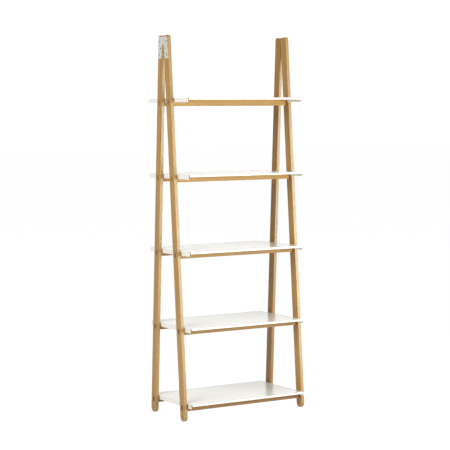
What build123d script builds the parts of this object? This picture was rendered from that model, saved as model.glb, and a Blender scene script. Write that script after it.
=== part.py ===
"""Folding A-frame ladder shelf.

Two wooden ladders lean together and hinge at the top, and five folded sheet-steel shelves hook over
their rails. Millimetres, +Z up. The origin is on the floor, midway between the feet: X runs along the
shelves, and the front ladder is on the -Y side.
"""
import os
from math import asin, cos, degrees, radians, sin, tan

from build123d import *

# ---------------------------------------------------------------- ladders
overall_height = 1910.0      # floor to the top of the legs
ladder_width = 708.0         # over the outer faces of the left and right legs
leg_width = 48.0             # front-to-back size of one leg
leg_thickness = 17.0         # side-to-side size of one leg
lean_angle = 3.9             # lean of each ladder from upright, degrees
top_butt_gap = 0.3           # between the front and rear leg tops, open
top_outer_radius = 12.0
top_inner_radius = 5.0
leg_arris_radius = 1.5
foot_hole_radius = 2.5

# ---------------------------------------------------------------- rails
rail_thickness = 17.0
rail_height = 37.0
rail_arris_radius = 1.2
tenon_height = 25.0
joint_gap = 0.02             # glue line round a tenon and at its shoulders

# ---------------------------------------------------------------- shelves
shelf_count = 5
bottom_shelf_height = 88.0   # floor to the top face of the lowest shelf
shelf_spacing = 377.5
shelf_depth = 415.0
shelf_side_gap = 5.0         # between a shelf and the inner face of a leg
sheet_thickness = 1.5
bend_radius = 2.4            # outside radius of a folded edge
side_flange_height = 22.0
edge_lip_height = 10.0
corner_relief = 5.0
seat_gap = 0.2               # between a shelf's underside and its rails
hook_clearance = 0.5         # between a flange's cut-out and the rail's inner face
lead_in_slope = 0.77         # run over drop of the cut-out's sloping edge

# ---------------------------------------------------------------- hinges
plate_thickness = 2.4
plate_standoff = 0.1         # between a plate and the wood that slides past it
layer_gap = 0.1              # between the two lapped discs
plate_drop = 8.0             # top of the legs to the top of the plate
plate_height = 108.0
plate_edge_inset = 4.0       # plate's outer edge to the leg's outer edge
plate_corner_radius = 10.0
prong_corner_radius = 15.0
bridge_height = 39.0         # plate's top to the top of the slot
slot_top_width = 14.0
slot_bottom_width = 32.0
slot_apex_radius = 6.0
disc_radius = 20.5
disc_play = 0.15
rivet_radius = 4.0
rivet_press = 0.01
rivet_running_clearance = 0.05
rivet_head_radius = 7.5
rivet_head_height = 1.2
rivet_end_gap = 0.05         # under the rivet's tail
rivet_tail_radius = 6.4
rivet_tail_height = 0.4
tail_recess_radius = 6.6
tail_recess_depth = 0.6

# ---------------------------------------------------------------- screws
screw_radius = 2.0
screw_head_radius = 4.0
head_angle = 90.0            # included angle of the countersunk heads
screw_length = 15.0
screw_gap = 0.02
screw_point_length = 2.5
recess_width = 1.0
recess_span = 4.6
recess_depth = 1.2
# distance in from the middle of the A-frame, and down from the top of the legs
screw_places = ((34.5, 31.0), (22.5, 66.0), (38.5, 97.0))

# ---------------------------------------------------------------- worked-out places
lean = radians(lean_angle)
inner_width = ladder_width - 2 * leg_thickness
shelf_width = inner_width - 2 * shelf_side_gap
foot_radius = leg_width / 2
shelf_tops = [bottom_shelf_height + shelf_spacing * (shelf_count - 1 - n) for n in range(shelf_count)]

# a leg is drawn along its own centre line, from the middle of its round foot up to its square top
corner_offset = (foot_radius - top_outer_radius) * sin(lean)
leg_length = (overall_height - foot_radius - top_outer_radius - corner_offset) / cos(lean) + top_outer_radius
inner_corner_reach = (
    (leg_length - top_inner_radius) * sin(lean)
    + (foot_radius - top_inner_radius) * cos(lean)
    + top_inner_radius
)
foot_y = -(top_butt_gap / 2 + inner_corner_reach)


def leg_centre_y(z):
    """Place of the front legs' centre line at a height."""
    return foot_y + (z - foot_radius) * tan(lean)


def leg_outer_y(z):
    """Place of the front legs' front edge at a height."""
    return leg_centre_y(z) - foot_radius / cos(lean)


leg_plane = Plane(
    origin=(-inner_width / 2, foot_y, foot_radius),
    x_dir=(0, -cos(lean), sin(lean)),
    z_dir=(-1, 0, 0),
)
rail_tops = [top - sheet_thickness - seat_gap for top in shelf_tops]
plate_top = overall_height - plate_drop
plate_bottom = plate_top - plate_height
slot_top = plate_top - bridge_height
pivot_z = plate_top - bridge_height / 2
plate_face_x = ladder_width / 2 + plate_standoff
layer_thickness = (plate_thickness - layer_gap) / 2


def rail_section(top, height, thickness):
    """Corners of a leaning rail's section at the front, level at its top and bottom."""
    half = thickness / 2 / cos(lean)
    bottom = top - height
    return [
        (leg_centre_y(top) - half, top),
        (leg_centre_y(top) + half, top),
        (leg_centre_y(bottom) + half, bottom),
        (leg_centre_y(bottom) - half, bottom),
    ]


def tenon_section(rail_top, gap):
    """Corners of a rail's tenon, or of its mortise when a gap is given."""
    shoulder = (rail_height - tenon_height) / 2
    return rail_section(rail_top - shoulder + gap, tenon_height + 2 * gap, rail_thickness + 2 * gap)


os.makedirs("parts", exist_ok=True)


def save(piece, name):
    """Label a finished piece and write its STEP file."""
    piece.label = name
    export_step(piece, f"parts/{name}.step")


# ================================================================ legs
with BuildPart() as front_left_leg:
    with BuildSketch(leg_plane):
        Circle(foot_radius)
        with Locations((0, leg_length / 2)):
            Rectangle(leg_width, leg_length)
        fillet(vertices().group_by(Axis.Y)[-1].sort_by(Axis.X)[-1], top_outer_radius)
        fillet(vertices().group_by(Axis.Y)[-1].sort_by(Axis.X)[0], top_inner_radius)
    extrude(amount=leg_thickness)
    fillet(front_left_leg.faces().filter_by(Axis.X).edges(), leg_arris_radius)
    with BuildSketch(leg_plane):
        Circle(foot_hole_radius)
    extrude(amount=leg_thickness, mode=Mode.SUBTRACT)
    for rail_top in rail_tops:
        with BuildSketch(Plane.YZ.offset(-inner_width / 2)):
            Polygon(*tenon_section(rail_top, joint_gap), align=None)
        extrude(amount=-leg_thickness, mode=Mode.SUBTRACT)
    for inset, drop in screw_places:
        with BuildSketch(Plane.YZ.offset(-ladder_width / 2)):
            with Locations((-inset, overall_height - drop)):
                Circle(screw_radius + screw_gap)
        extrude(amount=screw_length - plate_thickness + screw_gap, mode=Mode.SUBTRACT)

with BuildPart() as front_right_leg:
    mirror(front_left_leg.part, about=Plane.YZ)
with BuildPart() as rear_left_leg:
    mirror(front_left_leg.part, about=Plane.XZ)
with BuildPart() as rear_right_leg:
    mirror(front_right_leg.part, about=Plane.XZ)

save(front_left_leg.part, "front_left_leg")
save(front_right_leg.part, "front_right_leg")
save(rear_left_leg.part, "rear_left_leg")
save(rear_right_leg.part, "rear_right_leg")

# ================================================================ rails
for level, rail_top in enumerate(rail_tops, start=1):
    with BuildPart() as front_rail:
        with BuildSketch(Plane.YZ):
            Polygon(*rail_section(rail_top, rail_height, rail_thickness), align=None)
        extrude(amount=inner_width / 2 - joint_gap, both=True)
        fillet(front_rail.edges().filter_by(Axis.X), rail_arris_radius)
        with BuildSketch(Plane.YZ):
            Polygon(*tenon_section(rail_top, 0), align=None)
        extrude(amount=ladder_width / 2, both=True)
    with BuildPart() as rear_rail:
        mirror(front_rail.part, about=Plane.XZ)
    save(front_rail.part, f"front_rail_{level}")
    save(rear_rail.part, f"rear_rail_{level}")

# ================================================================ shelves
for level, shelf_top in enumerate(shelf_tops, start=1):
    underside = shelf_top - sheet_thickness
    flange_bottom = shelf_top - side_flange_height
    hook_y = rail_section(rail_tops[level - 1], rail_height, rail_thickness)[1][0] + hook_clearance
    hook_lead = lead_in_slope * (underside - flange_bottom)
    with BuildPart() as shelf:
        with BuildSketch(Plane.XY.offset(shelf_top)):
            Rectangle(shelf_width, shelf_depth)
        extrude(amount=-side_flange_height)
        fillet(shelf.faces().sort_by(Axis.Z)[-1].edges(), bend_radius)
        # hollow under the sheet
        with BuildSketch(Plane.XY.offset(underside)):
            Rectangle(shelf_width - 2 * sheet_thickness, shelf_depth - 2 * sheet_thickness)
        extrude(amount=flange_bottom - underside, mode=Mode.SUBTRACT)
        # front and rear lips are shorter than the side flanges
        with BuildSketch(Plane.XY.offset(shelf_top - edge_lip_height)):
            Rectangle(shelf_width - 2 * corner_relief, shelf_depth)
        extrude(amount=edge_lip_height - side_flange_height, mode=Mode.SUBTRACT)
        # square reliefs where the four folds would meet
        with BuildSketch(Plane.XY.offset(shelf_top)):
            with GridLocations(shelf_width, shelf_depth, 2, 2):
                Rectangle(2 * corner_relief, 2 * corner_relief)
        extrude(amount=-side_flange_height, mode=Mode.SUBTRACT)
        # cut-outs that hook over the rails, open beside the legs and sloping on the inside
        for side in (1, -1):
            with BuildSketch(Plane.YZ.offset(-shelf_width / 2)):
                Polygon(
                    (side * leg_outer_y(underside), underside),
                    (side * hook_y, underside),
                    (side * (hook_y + hook_lead), flange_bottom),
                    (side * leg_outer_y(flange_bottom), flange_bottom),
                    align=None,
                )
            extrude(amount=shelf_width, mode=Mode.SUBTRACT)
    save(shelf.part, f"shelf_{level}")

# ================================================================ hinge leaves
plate_top_y = -leg_outer_y(plate_top) - plate_edge_inset
plate_bottom_y = -leg_outer_y(plate_bottom) - plate_edge_inset
with BuildSketch(Plane.YZ) as plate_outline:
    with BuildLine():
        Polyline(
            (-plate_top_y, plate_top),
            (plate_top_y, plate_top),
            (plate_bottom_y, plate_bottom),
            (slot_bottom_width / 2, plate_bottom),
            (slot_top_width / 2, slot_top),
            (-slot_top_width / 2, slot_top),
            (-slot_bottom_width / 2, plate_bottom),
            (-plate_bottom_y, plate_bottom),
            close=True,
        )
    make_face()
    corner_rows = plate_outline.vertices().group_by(Axis.Y)
    fillet(corner_rows[2], plate_corner_radius)
    fillet(corner_rows[1], slot_apex_radius)
    fillet(corner_rows[0], prong_corner_radius)

outer_face_x = -plate_face_x - plate_thickness


def hinge_leaf(side, own_layer_x, other_layer_x, hole_radius):
    """One leaf of the left hinge: a prong on its leg, and its half of the lapped disc."""
    with BuildPart() as leaf:
        with BuildSketch(Plane.YZ.offset(outer_face_x)):
            add(plate_outline.sketch_local)
            with Locations((-side * ladder_width, pivot_z)):
                Rectangle(2 * ladder_width, 2 * overall_height, mode=Mode.SUBTRACT)
        extrude(amount=plate_thickness)
        # room for the other leaf's disc, then this leaf's own disc
        with BuildSketch(Plane.YZ.offset(other_layer_x)):
            with Locations((0, pivot_z)):
                Circle(disc_radius + disc_play)
        extrude(amount=layer_thickness + layer_gap, mode=Mode.SUBTRACT)
        with BuildSketch(Plane.YZ.offset(own_layer_x)):
            add(plate_outline.sketch_local)
            with Locations((0, pivot_z)):
                Circle(disc_radius, mode=Mode.INTERSECT)
        extrude(amount=layer_thickness)
        with BuildSketch(Plane.YZ.offset(outer_face_x)):
            with Locations((0, pivot_z)):
                Circle(hole_radius)
        extrude(amount=plate_thickness, mode=Mode.SUBTRACT)
        for inset, drop in screw_places:
            hole_place = (outer_face_x, side * inset, overall_height - drop)
            with Locations(Plane(origin=hole_place, x_dir=(0, 1, 0), z_dir=(-1, 0, 0))):
                CounterSinkHole(
                    screw_radius + screw_gap,
                    screw_head_radius + screw_gap,
                    depth=plate_thickness,
                    counter_sink_angle=head_angle,
                )
    return leaf.part


inner_layer_x = -plate_face_x - layer_thickness
with BuildPart() as left_hinge_front_leaf:
    add(hinge_leaf(-1, outer_face_x, inner_layer_x - layer_gap, rivet_radius + rivet_press))
with BuildPart() as left_hinge_rear_leaf:
    add(hinge_leaf(1, inner_layer_x, outer_face_x, rivet_radius + rivet_running_clearance))
    # shallow recess for the rivet's tail, against the wood
    with BuildSketch(Plane.YZ.offset(-plate_face_x - tail_recess_depth)):
        with Locations((0, pivot_z)):
            Circle(tail_recess_radius)
    extrude(amount=tail_recess_depth, mode=Mode.SUBTRACT)

# ================================================================ pivot rivet
tail_x = -plate_face_x - tail_recess_depth + rivet_end_gap
dome_radius = (rivet_head_radius**2 + rivet_head_height**2) / (2 * rivet_head_height)
dome_angle = degrees(asin(rivet_head_radius / dome_radius))
with BuildPart() as left_hinge_rivet:
    with BuildSketch(Plane.XZ):
        with BuildLine():
            CenterArc((outer_face_x - rivet_head_height + dome_radius, pivot_z), dome_radius, 180, -dome_angle)
            Polyline(
                (outer_face_x, pivot_z + rivet_head_radius),
                (outer_face_x, pivot_z + rivet_radius),
                (tail_x, pivot_z + rivet_radius),
                (tail_x, pivot_z + rivet_tail_radius),
                (tail_x + rivet_tail_height, pivot_z + rivet_tail_radius),
                (tail_x + rivet_tail_height, pivot_z),
                (outer_face_x - rivet_head_height, pivot_z),
            )
        make_face()
    revolve(axis=Axis((0, 0, pivot_z), (1, 0, 0)))

# ================================================================ screws
head_depth = (screw_head_radius - screw_radius) / tan(radians(head_angle / 2))
with BuildPart() as screw:
    with BuildSketch(Plane.XZ):
        with BuildLine():
            Polyline(
                (0, 0),
                (0, screw_head_radius),
                (head_depth, screw_radius),
                (screw_length - screw_point_length, screw_radius),
                (screw_length, 0),
                close=True,
            )
        make_face()
    revolve(axis=Axis.X)
    with BuildSketch(Plane.YZ):
        Rectangle(recess_span, recess_width)
        Rectangle(recess_width, recess_span)
    extrude(amount=recess_depth, mode=Mode.SUBTRACT)

hinge_screws = {}
for side, leaf_name in ((-1, "front"), (1, "rear")):
    with BuildPart() as leaf_screws:
        for inset, drop in screw_places:
            with Locations((outer_face_x, side * inset, overall_height - drop)):
                add(screw.part)
    hinge_screws[leaf_name] = leaf_screws.part

# ================================================================ both hinges
left_hinge_pieces = {
    "hinge_front_leaf": left_hinge_front_leaf.part,
    "hinge_rear_leaf": left_hinge_rear_leaf.part,
    "hinge_rivet": left_hinge_rivet.part,
    "hinge_front_screws": hinge_screws["front"],
    "hinge_rear_screws": hinge_screws["rear"],
}
for name, left_piece in left_hinge_pieces.items():
    with BuildPart() as right_piece:
        mirror(left_piece, about=Plane.YZ)
    save(left_piece, f"left_{name}")
    save(right_piece.part, f"right_{name}")
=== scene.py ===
"""Looks for the folding ladder shelf: oiled oak ladders, white powder-coated shelves, zinc-plated hinges."""
import math
import random

import bpy
from mathutils import Euler, Matrix, Vector


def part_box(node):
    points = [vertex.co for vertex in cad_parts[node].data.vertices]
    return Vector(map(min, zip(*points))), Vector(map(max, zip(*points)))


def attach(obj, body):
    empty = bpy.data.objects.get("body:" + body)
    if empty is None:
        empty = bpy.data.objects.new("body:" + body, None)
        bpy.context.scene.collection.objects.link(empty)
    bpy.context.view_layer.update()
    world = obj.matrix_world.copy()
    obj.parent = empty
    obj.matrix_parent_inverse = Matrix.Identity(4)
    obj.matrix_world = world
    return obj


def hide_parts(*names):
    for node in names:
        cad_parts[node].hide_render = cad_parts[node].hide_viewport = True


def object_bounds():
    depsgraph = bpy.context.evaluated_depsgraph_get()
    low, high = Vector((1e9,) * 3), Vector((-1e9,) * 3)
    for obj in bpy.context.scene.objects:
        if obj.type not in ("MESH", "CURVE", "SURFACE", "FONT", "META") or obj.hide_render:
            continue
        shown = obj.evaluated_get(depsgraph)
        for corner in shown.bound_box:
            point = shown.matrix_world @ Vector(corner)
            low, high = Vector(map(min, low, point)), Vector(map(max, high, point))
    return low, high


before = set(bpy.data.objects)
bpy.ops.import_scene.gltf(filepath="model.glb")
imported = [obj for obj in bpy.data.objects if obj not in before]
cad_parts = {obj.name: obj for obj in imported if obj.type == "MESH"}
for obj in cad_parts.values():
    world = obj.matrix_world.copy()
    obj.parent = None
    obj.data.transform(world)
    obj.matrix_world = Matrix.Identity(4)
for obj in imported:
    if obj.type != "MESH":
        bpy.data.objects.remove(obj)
cad_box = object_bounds()

# ---------------------------------------------------------------- sizes, in metres and radians
LEAN = math.radians(3.9)            # lean of each ladder from upright
TOP_HEIGHT = cad_box[1].z
SCREW_INSETS = (0.0345, 0.0225, 0.0385)
SCREW_DROPS = (0.031, 0.066, 0.097)
SCREW_HEAD_RADIUS = 0.00392
SCREW_SHANK_RADIUS = 0.0019
SCREW_HEAD_DEPTH = 0.0021
SCREW_SHANK_LENGTH = 0.011
DRIVE_SPAN = 0.0046
DRIVE_WIDTH = 0.00095
DRIVE_DEPTH = 0.0012
LEVELS = range(1, 6)


# ---------------------------------------------------------------- node helpers
def node(tree, kind, inputs=None, **settings):
    """Add a node. An input's value may be a number, a colour or another node's output."""
    made = tree.nodes.new(kind)
    for key, value in settings.items():
        setattr(made, key, value)
    for key, value in (inputs or {}).items():
        if isinstance(value, bpy.types.NodeSocket):
            tree.links.new(value, made.inputs[key])
        else:
            made.inputs[key].default_value = value
    return made


def maths(tree, operation, a, b=0.0, clamp=False):
    return node(tree, "ShaderNodeMath", {0: a, 1: b}, operation=operation, use_clamp=clamp).outputs[0]


def vectors(tree, operation, a, b=(0.0, 0.0, 0.0)):
    made = node(tree, "ShaderNodeVectorMath", {0: a, 1: b}, operation=operation)
    return made.outputs["Value" if operation in ("DOT_PRODUCT", "LENGTH") else "Vector"]


def remap(tree, value, low, high, to_low=0.0, to_high=1.0):
    made = node(
        tree,
        "ShaderNodeMapRange",
        {"Value": value, "From Min": low, "From Max": high, "To Min": to_low, "To Max": to_high},
    )
    return made.outputs["Result"]


def mixed(tree, factor, a, b, how="MIX"):
    made = node(tree, "ShaderNodeMix", data_type="RGBA", blend_type=how)
    for index, value in ((0, factor), (6, a), (7, b)):
        if isinstance(value, bpy.types.NodeSocket):
            tree.links.new(value, made.inputs[index])
        else:
            made.inputs[index].default_value = value
    return made.outputs[2]


def layered(tree, colour, mask, amount, over):
    """Lay a colour over another through a mask, at most by the given amount."""
    return mixed(tree, maths(tree, "MULTIPLY", mask, amount), colour, over)


def weighed(tree, *parts):
    """The sum of masks, each times its weight."""
    total = None
    for mask, weight in parts:
        share = maths(tree, "MULTIPLY", mask, weight)
        total = share if total is None else maths(tree, "ADD", total, share)
    return total


def noise(tree, place, stretch, detail=3.0, roughness=0.5):
    """Noise whose features per metre are given for each axis."""
    scaled = vectors(tree, "MULTIPLY", place, stretch)
    return node(
        tree,
        "ShaderNodeTexNoise",
        {"Vector": scaled, "Scale": 1.0, "Detail": detail, "Roughness": roughness},
    ).outputs


def shader_group(name, inputs, outputs):
    """An empty shader group with named sockets. Each input is a name, a kind and its usual value."""
    tree = bpy.data.node_groups.new(name, "ShaderNodeTree")
    for label, kind, value in inputs:
        socket = tree.interface.new_socket(label, in_out="INPUT", socket_type=f"NodeSocket{kind}")
        socket.default_value = value
    for label, kind in outputs:
        tree.interface.new_socket(label, in_out="OUTPUT", socket_type=f"NodeSocket{kind}")
    inlet = tree.nodes.new("NodeGroupInput")
    outlet = tree.nodes.new("NodeGroupOutput")
    return tree, inlet.outputs, outlet.inputs


# ---------------------------------------------------------------- shared effects
def make_straight_grain():
    """Growth rings, long streaks, fibres and pores of a sawn bar whose length is along Z."""
    tree, given, result = shader_group(
        "straight_grain",
        [("Place", "Vector", (0.0, 0.0, 0.0)), ("Pith", "Vector", (0.05, 0.08, 0.0)),
         ("Ring Width", "Float", 0.0026), ("Waviness", "Float", 0.010)],
        [("Rings", "Float"), ("Streaks", "Float"), ("Fibres", "Float"), ("Pores", "Float")],
    )
    place = given["Place"]
    drift = noise(tree, place, (5.0, 5.0, 1.1), detail=2.0)["Color"]
    drift = vectors(tree, "SUBTRACT", drift, (0.5, 0.5, 0.5))
    wander = node(tree, "ShaderNodeVectorMath", {0: drift, "Scale": given["Waviness"]}, operation="SCALE").outputs[0]
    bent = vectors(tree, "ADD", vectors(tree, "SUBTRACT", place, given["Pith"]), wander)
    across = vectors(tree, "LENGTH", vectors(tree, "MULTIPLY", bent, (1.0, 1.0, 0.0)))
    ring = maths(tree, "FRACT", maths(tree, "DIVIDE", across, given["Ring Width"]))
    late_wood = maths(tree, "POWER", ring, 2.6)
    fine_edge = remap(tree, ring, 0.0, 0.08, 1.0, 0.0)
    tree.links.new(maths(tree, "MAXIMUM", late_wood, fine_edge), result["Rings"])
    tree.links.new(noise(tree, place, (85.0, 85.0, 1.6), detail=4.0, roughness=0.55)["Fac"], result["Streaks"])
    tree.links.new(noise(tree, place, (820.0, 820.0, 11.0), detail=2.0)["Fac"], result["Fibres"])
    cells = noise(tree, place, (1500.0, 1500.0, 42.0), detail=1.0)["Fac"]
    open_pores = remap(tree, cells, 0.60, 0.70)
    early_wood = remap(tree, ring, 0.0, 0.45, 1.0, 0.25)
    tree.links.new(maths(tree, "MULTIPLY", open_pores, early_wood), result["Pores"])
    return tree


def make_edge_wear():
    """A mask along outer edges, broken up as real wear is, and the normal of a slightly rounded edge."""
    tree, given, result = shader_group(
        "edge_wear",
        [("Place", "Vector", (0.0, 0.0, 0.0)), ("Radius", "Float", 0.001), ("Patchiness", "Float", 0.6)],
        [("Mask", "Float"), ("Soft Normal", "Vector")],
    )
    rounded = node(tree, "ShaderNodeBevel", {"Radius": given["Radius"]}, samples=6).outputs["Normal"]
    facing = node(tree, "ShaderNodeNewGeometry").outputs["Normal"]
    bend = maths(tree, "SUBTRACT", 1.0, vectors(tree, "DOT_PRODUCT", rounded, facing))
    edge = remap(tree, bend, 0.01, 0.22)
    patches = noise(tree, given["Place"], (70.0, 70.0, 70.0), detail=4.0, roughness=0.65)["Fac"]
    patches = remap(tree, patches, 0.42, 0.62)
    kept = maths(tree, "MULTIPLY", maths(tree, "SUBTRACT", 1.0, patches), given["Patchiness"])
    tree.links.new(maths(tree, "MULTIPLY", edge, maths(tree, "SUBTRACT", 1.0, kept)), result["Mask"])
    tree.links.new(rounded, result["Soft Normal"])
    return tree


def make_handling():
    """Soft smudges left by hands and cloths, and the fine grain of the surface under them."""
    tree, given, result = shader_group(
        "handling",
        [("Place", "Vector", (0.0, 0.0, 0.0)), ("Smudges Per Metre", "Float", 9.0),
         ("Grain Per Metre", "Float", 420.0)],
        [("Smudge", "Float"), ("Fine", "Float"), ("Speck", "Float")],
    )
    place = given["Place"]
    wide = node(
        tree,
        "ShaderNodeTexNoise",
        {"Vector": place, "Scale": given["Smudges Per Metre"], "Detail": 5.0, "Roughness": 0.6, "Distortion": 0.6},
    ).outputs["Fac"]
    tree.links.new(remap(tree, wide, 0.38, 0.66), result["Smudge"])
    fine = node(
        tree,
        "ShaderNodeTexNoise",
        {"Vector": place, "Scale": given["Grain Per Metre"], "Detail": 2.0, "Roughness": 0.45},
    ).outputs["Fac"]
    tree.links.new(fine, result["Fine"])
    dots = node(
        tree,
        "ShaderNodeTexVoronoi",
        {"Vector": place, "Scale": 160.0, "Randomness": 1.0},
        feature="F1",
    ).outputs["Distance"]
    rare = noise(tree, place, (23.0, 23.0, 23.0), detail=1.0)["Fac"]
    speck = maths(tree, "MULTIPLY", remap(tree, dots, 0.10, 0.05), remap(tree, rare, 0.60, 0.66))
    tree.links.new(speck, result["Speck"])
    return tree


STRAIGHT_GRAIN = make_straight_grain()
EDGE_WEAR = make_edge_wear()
HANDLING = make_handling()


def new_material(name):
    """A material with its surface shader and its Object coordinates."""
    material = bpy.data.materials.new(name)
    material.use_nodes = True
    tree = material.node_tree
    tree.nodes.clear()
    surface = node(tree, "ShaderNodeBsdfPrincipled")
    output = node(tree, "ShaderNodeOutputMaterial")
    tree.links.new(surface.outputs[0], output.inputs["Surface"])
    place = node(tree, "ShaderNodeTexCoord")
    return material, tree, surface, place


def placed(tree, group, inputs):
    return node(tree, "ShaderNodeGroup", inputs, node_tree=group).outputs


def emboss(tree, surface, strength, depth, height, normal):
    """Fine relief. depth is in metres."""
    bump = node(
        tree, "ShaderNodeBump", {"Strength": strength, "Distance": depth, "Height": height, "Normal": normal}
    )
    tree.links.new(bump.outputs[0], surface.inputs["Normal"])


# ---------------------------------------------------------------- materials
OAK_PALE = (0.55, 0.340, 0.108, 1.0)
OAK_MID = (0.425, 0.230, 0.058, 1.0)
OAK_LATE = (0.280, 0.128, 0.026, 1.0)
OAK_PORE = (0.120, 0.050, 0.012, 1.0)
OAK_END = (0.150, 0.066, 0.017, 1.0)
OAK_WORN = (0.57, 0.39, 0.17, 1.0)
OIL_SHEEN = (0.86, 1.0, 0.90, 1.0)
COAT_CLEAN = (0.87, 0.866, 0.81, 1.0)
COAT_HANDLED = (0.862, 0.857, 0.80, 1.0)
COAT_EDGE = (0.90, 0.90, 0.885, 1.0)
COAT_SPECK = (0.52, 0.50, 0.46, 1.0)
ZINC_DARK = (0.63, 0.63, 0.565, 1.0)
ZINC_PALE = (0.71, 0.71, 0.645, 1.0)
ZINC_HANDLED = (0.50, 0.50, 0.46, 1.0)
ZINC_WORN = (0.82, 0.82, 0.80, 1.0)
OXIDE_DARK = (0.060, 0.052, 0.044, 1.0)
OXIDE_HANDLED = (0.105, 0.088, 0.070, 1.0)
OXIDE_WORN = (0.30, 0.27, 0.22, 1.0)


def oiled_oak(name, turn, middle, pith, tone_light_and_shade, rough_range, shine):
    """Oiled oak for one bar. turn lays Z along the bar, and middle is a point on its centre line."""
    material, tree, surface, place = new_material(name)
    bar = node(
        tree,
        "ShaderNodeMapping",
        {"Vector": place.outputs["Object"], "Location": middle, "Rotation": turn},
        vector_type="TEXTURE",
    ).outputs[0]
    grain = placed(tree, STRAIGHT_GRAIN, {"Place": bar, "Pith": pith, "Ring Width": 0.0027, "Waviness": 0.011})
    wear = placed(tree, EDGE_WEAR, {"Place": bar, "Radius": 0.0016, "Patchiness": 0.75})
    hands = placed(tree, HANDLING, {"Place": bar, "Smudges Per Metre": 5.0, "Grain Per Metre": 700.0})
    # end grain shows on the faces across the bar
    along = Euler(turn).to_matrix() @ Vector((0.0, 0.0, 1.0))
    across = maths(tree, "ABSOLUTE", vectors(tree, "DOT_PRODUCT", place.outputs["Normal"], tuple(along)))
    end = remap(tree, across, 0.80, 0.95)

    streak = remap(tree, grain["Streaks"], 0.36, 0.64)
    colour = mixed(tree, streak, OAK_PALE, OAK_MID)
    colour = layered(tree, colour, grain["Rings"], 0.62, OAK_LATE)
    fibre = remap(tree, grain["Fibres"], 0.30, 0.72, 0.86, 1.12)
    fibre = node(tree, "ShaderNodeCombineColor", {0: fibre, 1: fibre, 2: fibre}).outputs[0]
    colour = mixed(tree, 1.0, colour, fibre, "MULTIPLY")
    colour = layered(tree, colour, grain["Pores"], 0.55, OAK_PORE)
    colour = layered(tree, colour, hands["Smudge"], 0.10, OAK_LATE)
    colour = layered(tree, colour, wear["Mask"], 0.35, OAK_WORN)
    colour = layered(tree, colour, end, 0.62, OAK_END)
    # painted light and shade: this multiply lightens the upper rails and darkens the lower rails and the rear right
    # leg
    colour = mixed(tree, 1.0, colour, (*tone_light_and_shade, 1.0), "MULTIPLY")
    tree.links.new(colour, surface.inputs["Base Color"])

    rough = remap(tree, grain["Streaks"], 0.25, 0.75, *rough_range)
    rough = maths(tree, "ADD", rough, maths(tree, "MULTIPLY", grain["Pores"], 0.20))
    rough = maths(tree, "ADD", rough, maths(tree, "MULTIPLY", end, 0.22))
    rough = maths(tree, "SUBTRACT", rough, maths(tree, "MULTIPLY", hands["Smudge"], 0.08), clamp=True)
    tree.links.new(rough, surface.inputs["Roughness"])

    height = weighed(tree, (grain["Rings"], 0.25), (grain["Fibres"], 0.30), (grain["Pores"], -0.90))
    emboss(tree, surface, 0.55, 0.00025, height, wear["Soft Normal"])
    surface.inputs["Specular IOR Level"].default_value = shine
    surface.inputs["Specular Tint"].default_value = OIL_SHEEN
    return material


def powder_coat():
    """White gloss powder coat: faint orange peel, smudges and slightly thin edges."""
    material, tree, surface, place = new_material("white_powder_coat")
    where = place.outputs["Object"]
    hands = placed(tree, HANDLING, {"Place": where, "Smudges Per Metre": 6.0, "Grain Per Metre": 330.0})
    wear = placed(tree, EDGE_WEAR, {"Place": where, "Radius": 0.0012, "Patchiness": 0.5})
    colour = mixed(tree, hands["Smudge"], COAT_CLEAN, COAT_HANDLED)
    colour = layered(tree, colour, wear["Mask"], 0.45, COAT_EDGE)
    colour = layered(tree, colour, hands["Speck"], 0.35, COAT_SPECK)
    tree.links.new(colour, surface.inputs["Base Color"])
    tree.links.new(remap(tree, hands["Smudge"], 0.0, 1.0, 0.23, 0.26), surface.inputs["Roughness"])
    emboss(tree, surface, 0.35, 0.00006, hands["Fine"], wear["Soft Normal"])
    surface.inputs["Specular IOR Level"].default_value = 0.5
    return material


def zinc_plate():
    """Dull zinc plating: pale spangle, fine rolling lines and bright worn edges."""
    material, tree, surface, place = new_material("zinc_plate")
    where = place.outputs["Object"]
    hands = placed(tree, HANDLING, {"Place": where, "Smudges Per Metre": 40.0, "Grain Per Metre": 1500.0})
    wear = placed(tree, EDGE_WEAR, {"Place": where, "Radius": 0.0006, "Patchiness": 0.4})
    spangle = node(tree, "ShaderNodeTexVoronoi", {"Vector": where, "Scale": 260.0}, feature="F1").outputs["Color"]
    flake = node(tree, "ShaderNodeSeparateColor", {0: spangle}).outputs[0]
    lines = noise(tree, where, (60.0, 2600.0, 45.0), detail=2.0)["Fac"]
    colour = mixed(tree, flake, ZINC_DARK, ZINC_PALE)
    colour = layered(tree, colour, hands["Smudge"], 0.35, ZINC_HANDLED)
    colour = layered(tree, colour, wear["Mask"], 0.7, ZINC_WORN)
    tree.links.new(colour, surface.inputs["Base Color"])
    rough = maths(tree, "ADD", remap(tree, flake, 0.0, 1.0, 0.40, 0.52), maths(tree, "MULTIPLY", lines, 0.10))
    tree.links.new(rough, surface.inputs["Roughness"])
    height = weighed(tree, (lines, 0.6), (hands["Fine"], 0.4))
    emboss(tree, surface, 0.4, 0.00005, height, wear["Soft Normal"])
    surface.inputs["Metallic"].default_value = 0.2
    return material


def black_oxide():
    """Blackened steel with bare, brighter edges round the drive."""
    material, tree, surface, place = new_material("black_oxide")
    where = place.outputs["Object"]
    hands = placed(tree, HANDLING, {"Place": where, "Smudges Per Metre": 300.0, "Grain Per Metre": 4000.0})
    wear = placed(tree, EDGE_WEAR, {"Place": where, "Radius": 0.0003, "Patchiness": 0.5})
    colour = mixed(tree, hands["Smudge"], OXIDE_DARK, OXIDE_HANDLED)
    colour = layered(tree, colour, wear["Mask"], 0.5, OXIDE_WORN)
    tree.links.new(colour, surface.inputs["Base Color"])
    tree.links.new(remap(tree, hands["Smudge"], 0.0, 1.0, 0.34, 0.52), surface.inputs["Roughness"])
    emboss(tree, surface, 0.3, 0.00003, hands["Fine"], wear["Soft Normal"])
    surface.inputs["Metallic"].default_value = 0.8
    return material


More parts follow.
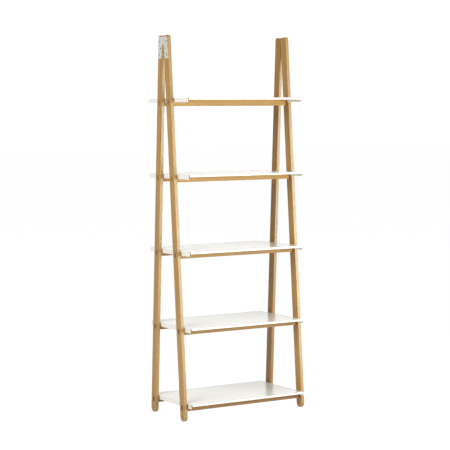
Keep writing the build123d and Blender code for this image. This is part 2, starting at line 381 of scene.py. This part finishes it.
def coat(name, material):
    """Give one CAD piece its finish."""
    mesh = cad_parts[name].data
    if not mesh.materials:
        mesh.materials.append(material)
    for index in range(len(mesh.materials)):
        mesh.materials[index] = material


def middle_of(name):
    low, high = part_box(name)
    return tuple((Vector(low) + Vector(high)) / 2)


# Each bar's tone multiplies its oak colour, and is partly the wood's own tone and partly painted light and shade.
# The tones above 1 on the upper rails are painted light, and the tones below 1 are painted shade that the studio's
# light doesn't cast on the lower rails and the rear right leg. With every tone at 1 all the bars are one oak.
chance = random.Random(11)
LEG_ROUGHNESS, LEG_SHINE = (0.42, 0.36), 0.72
RAIL_ROUGHNESS, RAIL_SHINE = (0.58, 0.50), 0.45
LEG_TONE_AND_SHADE = {
    "front_left": (1.0, 1.0, 1.0),
    "rear_left": (0.97, 0.96, 0.96),
    "front_right": (0.98, 0.96, 0.94),
    "rear_right": (0.87, 0.77, 0.70),
}
RAIL_TONE_LIGHT_AND_SHADE = (
    (1.08, 1.08, 1.00), (1.08, 1.08, 1.00), (0.94, 0.92, 0.84), (0.84, 0.79, 0.70), (0.68, 0.58, 0.48),
)


def finish_wood():
    """One oak finish for each bar, so that no two share their figure."""
    for row, lean in (("front", -LEAN), ("rear", LEAN)):
        for side in ("left", "right"):
            pith = (chance.uniform(-0.09, -0.05), chance.uniform(0.03, 0.10), 0.0)
            tone_light_and_shade = LEG_TONE_AND_SHADE[f"{row}_{side}"]
            name = f"{row}_{side}_leg"
            turn = (lean, 0.0, 0.0)
            oak = oiled_oak(f"oak_{name}", turn, middle_of(name), pith, tone_light_and_shade, LEG_ROUGHNESS, LEG_SHINE)
            coat(name, oak)
        for level in LEVELS:
            pith = (chance.uniform(0.04, 0.09), chance.uniform(0.05, 0.11), 0.0)
            tone_light_and_shade = RAIL_TONE_LIGHT_AND_SHADE[level - 1]
            name = f"{row}_rail_{level}"
            turn = (0.0, math.pi / 2, 0.0)
            oak = oiled_oak(f"oak_{name}", turn, middle_of(name), pith, tone_light_and_shade, RAIL_ROUGHNESS, RAIL_SHINE)
            coat(name, oak)


# ---------------------------------------------------------------- hinge screws
def make_screw_nodes(material):
    """Countersunk screws with a cross drive, one on each given point, turned as the point says."""
    tree = bpy.data.node_groups.new("hinge_screws", "GeometryNodeTree")
    sizes = (
        ("Head Radius", SCREW_HEAD_RADIUS),
        ("Shank Radius", SCREW_SHANK_RADIUS),
        ("Head Depth", SCREW_HEAD_DEPTH),
        ("Shank Length", SCREW_SHANK_LENGTH),
        ("Drive Span", DRIVE_SPAN),
        ("Drive Width", DRIVE_WIDTH),
        ("Drive Depth", DRIVE_DEPTH),
    )
    tree.interface.new_socket("Geometry", in_out="INPUT", socket_type="NodeSocketGeometry")
    for label, value in sizes:
        socket = tree.interface.new_socket(label, in_out="INPUT", socket_type="NodeSocketFloat")
        socket.default_value = value
    tree.interface.new_socket("Geometry", in_out="OUTPUT", socket_type="NodeSocketGeometry")
    given = tree.nodes.new("NodeGroupInput").outputs
    result = tree.nodes.new("NodeGroupOutput").inputs

    def moved(mesh, depth):
        shift = node(tree, "ShaderNodeCombineXYZ", {"Z": maths(tree, "MULTIPLY", depth, -1.0)}).outputs[0]
        return node(tree, "GeometryNodeTransform", {"Geometry": mesh, "Translation": shift}).outputs[0]

    head = node(
        tree,
        "GeometryNodeMeshCone",
        {"Vertices": 40, "Radius Top": given["Head Radius"], "Radius Bottom": given["Shank Radius"],
         "Depth": given["Head Depth"]},
    ).outputs["Mesh"]
    head = moved(head, given["Head Depth"])
    half_shank = maths(tree, "DIVIDE", given["Shank Length"], 2.0)
    shank = node(
        tree,
        "GeometryNodeMeshCylinder",
        {"Vertices": 20, "Radius": given["Shank Radius"], "Depth": given["Shank Length"]},
    ).outputs["Mesh"]
    shank = moved(shank, maths(tree, "ADD", given["Head Depth"], half_shank))
    drive_height = maths(tree, "MULTIPLY", given["Drive Depth"], 2.0)
    arms = []
    for spans in (("Drive Span", "Drive Width"), ("Drive Width", "Drive Span")):
        size = node(
            tree, "ShaderNodeCombineXYZ", {"X": given[spans[0]], "Y": given[spans[1]], "Z": drive_height}
        ).outputs[0]
        arms.append(node(tree, "GeometryNodeMeshCube", {"Size": size}).outputs["Mesh"])
    cut = node(tree, "GeometryNodeMeshBoolean", {0: head}, operation="DIFFERENCE", solver="EXACT")
    for arm in arms:
        tree.links.new(arm, cut.inputs[1])
    whole = node(tree, "GeometryNodeJoinGeometry")
    tree.links.new(cut.outputs["Mesh"], whole.inputs[0])
    tree.links.new(shank, whole.inputs[0])
    turn = node(tree, "GeometryNodeInputNamedAttribute", {"Name": "turn"}, data_type="FLOAT_VECTOR").outputs[0]
    points = node(tree, "GeometryNodeMeshToPoints", {"Mesh": given["Geometry"]}).outputs[0]
    spread = node(
        tree,
        "GeometryNodeInstanceOnPoints",
        {"Points": points, "Instance": whole.outputs[0], "Rotation": turn},
    ).outputs[0]
    real = node(tree, "GeometryNodeRealizeInstances", {"Geometry": spread}).outputs[0]
    coated = node(tree, "GeometryNodeSetMaterial", {"Geometry": real, "Material": material}).outputs[0]
    tree.links.new(coated, result["Geometry"])
    return tree


def hinge_screws(name, side, body, nodes_replaced, tree):
    """The six screws of one ladder's two leaves, as one plain mesh."""
    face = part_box("left_hinge_front_leaf")[0][0]
    spots, turns = [], []
    for hand in (1, -1):
        for inset, drop in zip(SCREW_INSETS, SCREW_DROPS):
            spots.append((hand * face, side * inset, TOP_HEIGHT - drop))
            twist = Matrix.Rotation(chance.uniform(0.0, math.pi / 2), 3, "Z")
            lay = Matrix.Rotation(-hand * math.pi / 2, 3, "Y")
            turns.extend((lay @ twist).to_euler())
    mesh = bpy.data.meshes.new(name + "_points")
    mesh.from_pydata(spots, [], [])
    mesh.attributes.new("turn", "FLOAT_VECTOR", "POINT").data.foreach_set("vector", turns)
    maker = bpy.data.objects.new(name + "_maker", mesh)
    bpy.context.scene.collection.objects.link(maker)
    maker.modifiers.new("screws", "NODES").node_group = tree
    bpy.context.view_layer.update()
    shown = bpy.data.meshes.new_from_object(maker.evaluated_get(bpy.context.evaluated_depsgraph_get()))
    bpy.data.objects.remove(maker)
    piece = bpy.data.objects.new(name, shown)
    bpy.context.scene.collection.objects.link(piece)
    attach(piece, body)
    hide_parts(*nodes_replaced)


# ---------------------------------------------------------------- studio
CAMERA_PLACE = (-3.968, -6.671, 1.4907)
CAMERA_YAW = 0.5357
CAMERA_PITCH = 0.0693
CAMERA_ROLL = -0.0099
CAMERA_LENS = 121.76
SENSOR_WIDTH = 36.0
VIEW_REACH = 200.0
FLOOR_REACH = 60.0
FLOOR_DROP = 0.0002
FLOOR_PAINT = (0.86, 0.86, 0.86, 1.0)
WHITE = (1.0, 1.0, 1.0, 1.0)
FLOOR_GLOW = 1.20
FLOOR_GLOW_SHARE = 0.80
FLOOR_GLOW_UNSEEN_SHARE = 0.35
BACKDROP_LIGHT = 1.05
# glossy surfaces mirror the bright paper, and all other light comes from the dimmer room
PAPER_SIDE = (0.95, 0.25, 0.15)
PAPER_FADE = (-0.15, 0.30)
PAPER_LIGHT = 1.40
PAPER_DARK = 0.10
ROOM_SIDE = (-0.25, -0.90, 0.36)
ROOM_FADE = (-0.6, 0.9)
ROOM_LIGHT = 0.24
ROOM_DARK = 0.14
# name, place, point faced, width, height, watts
SOFTBOXES = (
    ("right_softbox", (1.75, -2.8, 1.00), (0.0, -0.1, 1.00), 1.5, 1.7, 80.0),
    ("left_softbox", (-6.5, -3.2, 4.6), (-0.2, 0.0, 0.70), 4.6, 4.6, 460.0),
)


def aim_camera():
    data = bpy.data.cameras.new("camera")
    data.lens = CAMERA_LENS
    data.sensor_width = SENSOR_WIDTH
    data.clip_end = VIEW_REACH
    forward = Vector((
        math.sin(CAMERA_YAW) * math.cos(CAMERA_PITCH),
        math.cos(CAMERA_YAW) * math.cos(CAMERA_PITCH),
        -math.sin(CAMERA_PITCH),
    ))
    level = Vector((math.cos(CAMERA_YAW), -math.sin(CAMERA_YAW), 0.0))
    above = level.cross(forward)
    right = level * math.cos(CAMERA_ROLL) + above * math.sin(CAMERA_ROLL)
    up = above * math.cos(CAMERA_ROLL) - level * math.sin(CAMERA_ROLL)
    camera = bpy.data.objects.new("camera", data)
    camera.matrix_world = Matrix.Translation(CAMERA_PLACE) @ Matrix((right, up, -forward)).transposed().to_4x4()
    bpy.context.scene.collection.objects.link(camera)
    bpy.context.scene.camera = camera


def lay_floor():
    """A wide white floor that glows a little to the eye, so that only a faint shadow shows."""
    mesh = bpy.data.meshes.new("floor")
    corners = [(x * FLOOR_REACH, y * FLOOR_REACH, 0.0) for x, y in ((-1, -1), (1, -1), (1, 1), (-1, 1))]
    mesh.from_pydata(corners, [], [(0, 1, 2, 3)])
    floor = bpy.data.objects.new("floor", mesh)
    floor.location.z = -FLOOR_DROP
    bpy.context.scene.collection.objects.link(floor)
    material = bpy.data.materials.new("studio_floor")
    material.use_nodes = True
    tree = material.node_tree
    tree.nodes.clear()
    paper = node(tree, "ShaderNodeBsdfDiffuse", {"Color": FLOOR_PAINT})
    glow = node(tree, "ShaderNodeEmission", {"Color": WHITE, "Strength": FLOOR_GLOW})
    seen = node(tree, "ShaderNodeLightPath").outputs["Is Camera Ray"]
    share = remap(tree, seen, 0.0, 1.0, FLOOR_GLOW_UNSEEN_SHARE, FLOOR_GLOW_SHARE)
    both = node(tree, "ShaderNodeMixShader", {0: share, 1: paper.outputs[0], 2: glow.outputs[0]})
    output = node(tree, "ShaderNodeOutputMaterial")
    tree.links.new(both.outputs[0], output.inputs["Surface"])
    mesh.materials.append(material)


def softbox(name, place, aim, width, height, power):
    """A large soft light that faces a point on the shelf."""
    data = bpy.data.lights.new(name, "AREA")
    data.shape = "RECTANGLE"
    data.size, data.size_y = width, height
    data.energy = power
    lamp = bpy.data.objects.new(name, data)
    lamp.location = place
    lamp.rotation_mode = "QUATERNION"
    lamp.rotation_quaternion = (Vector(place) - Vector(aim)).to_track_quat("Z", "Y")
    bpy.context.scene.collection.objects.link(lamp)


def light_studio():
    """White paper behind the shelf, a dimmer room round it, and two softboxes."""
    world = bpy.data.worlds.new("studio")
    bpy.context.scene.world = world
    world.use_nodes = True
    tree = world.node_tree
    tree.nodes.clear()
    direction = node(tree, "ShaderNodeTexCoord").outputs["Generated"]
    path = node(tree, "ShaderNodeLightPath").outputs
    toward_paper = vectors(tree, "DOT_PRODUCT", direction, PAPER_SIDE)
    paper = remap(tree, toward_paper, *PAPER_FADE, PAPER_DARK, PAPER_LIGHT)
    toward_room = vectors(tree, "DOT_PRODUCT", direction, ROOM_SIDE)
    room = remap(tree, toward_room, *ROOM_FADE, ROOM_DARK, ROOM_LIGHT)
    strength = room
    for ray, light in (("Is Glossy Ray", paper), ("Is Camera Ray", BACKDROP_LIGHT)):
        strength = node(
            tree, "ShaderNodeMix", {0: path[ray], 2: strength, 3: light}, data_type="FLOAT"
        ).outputs[0]
    sky = node(tree, "ShaderNodeBackground", {"Color": WHITE, "Strength": strength})
    output = node(tree, "ShaderNodeOutputWorld")
    tree.links.new(sky.outputs[0], output.inputs["Surface"])
    for box in SOFTBOXES:
        softbox(*box)


# ---------------------------------------------------------------- making
finish_wood()
white = powder_coat()
for level in LEVELS:
    coat(f"shelf_{level}", white)
zinc = zinc_plate()
for hand in ("left", "right"):
    for piece_name in ("front_leaf", "rear_leaf", "rivet"):
        coat(f"{hand}_hinge_{piece_name}", zinc)
screw_tree = make_screw_nodes(black_oxide())
for row, row_side in (("front", -1), ("rear", 1)):
    hinge_screws(
        f"{row}_hinge_screws",
        row_side,
        f"{row}_ladder",
        (f"left_hinge_{row}_screws", f"right_hinge_{row}_screws"),
        screw_tree,
    )
lay_floor()
light_studio()
aim_camera()
bpy.context.scene.view_settings.view_transform = "Standard"
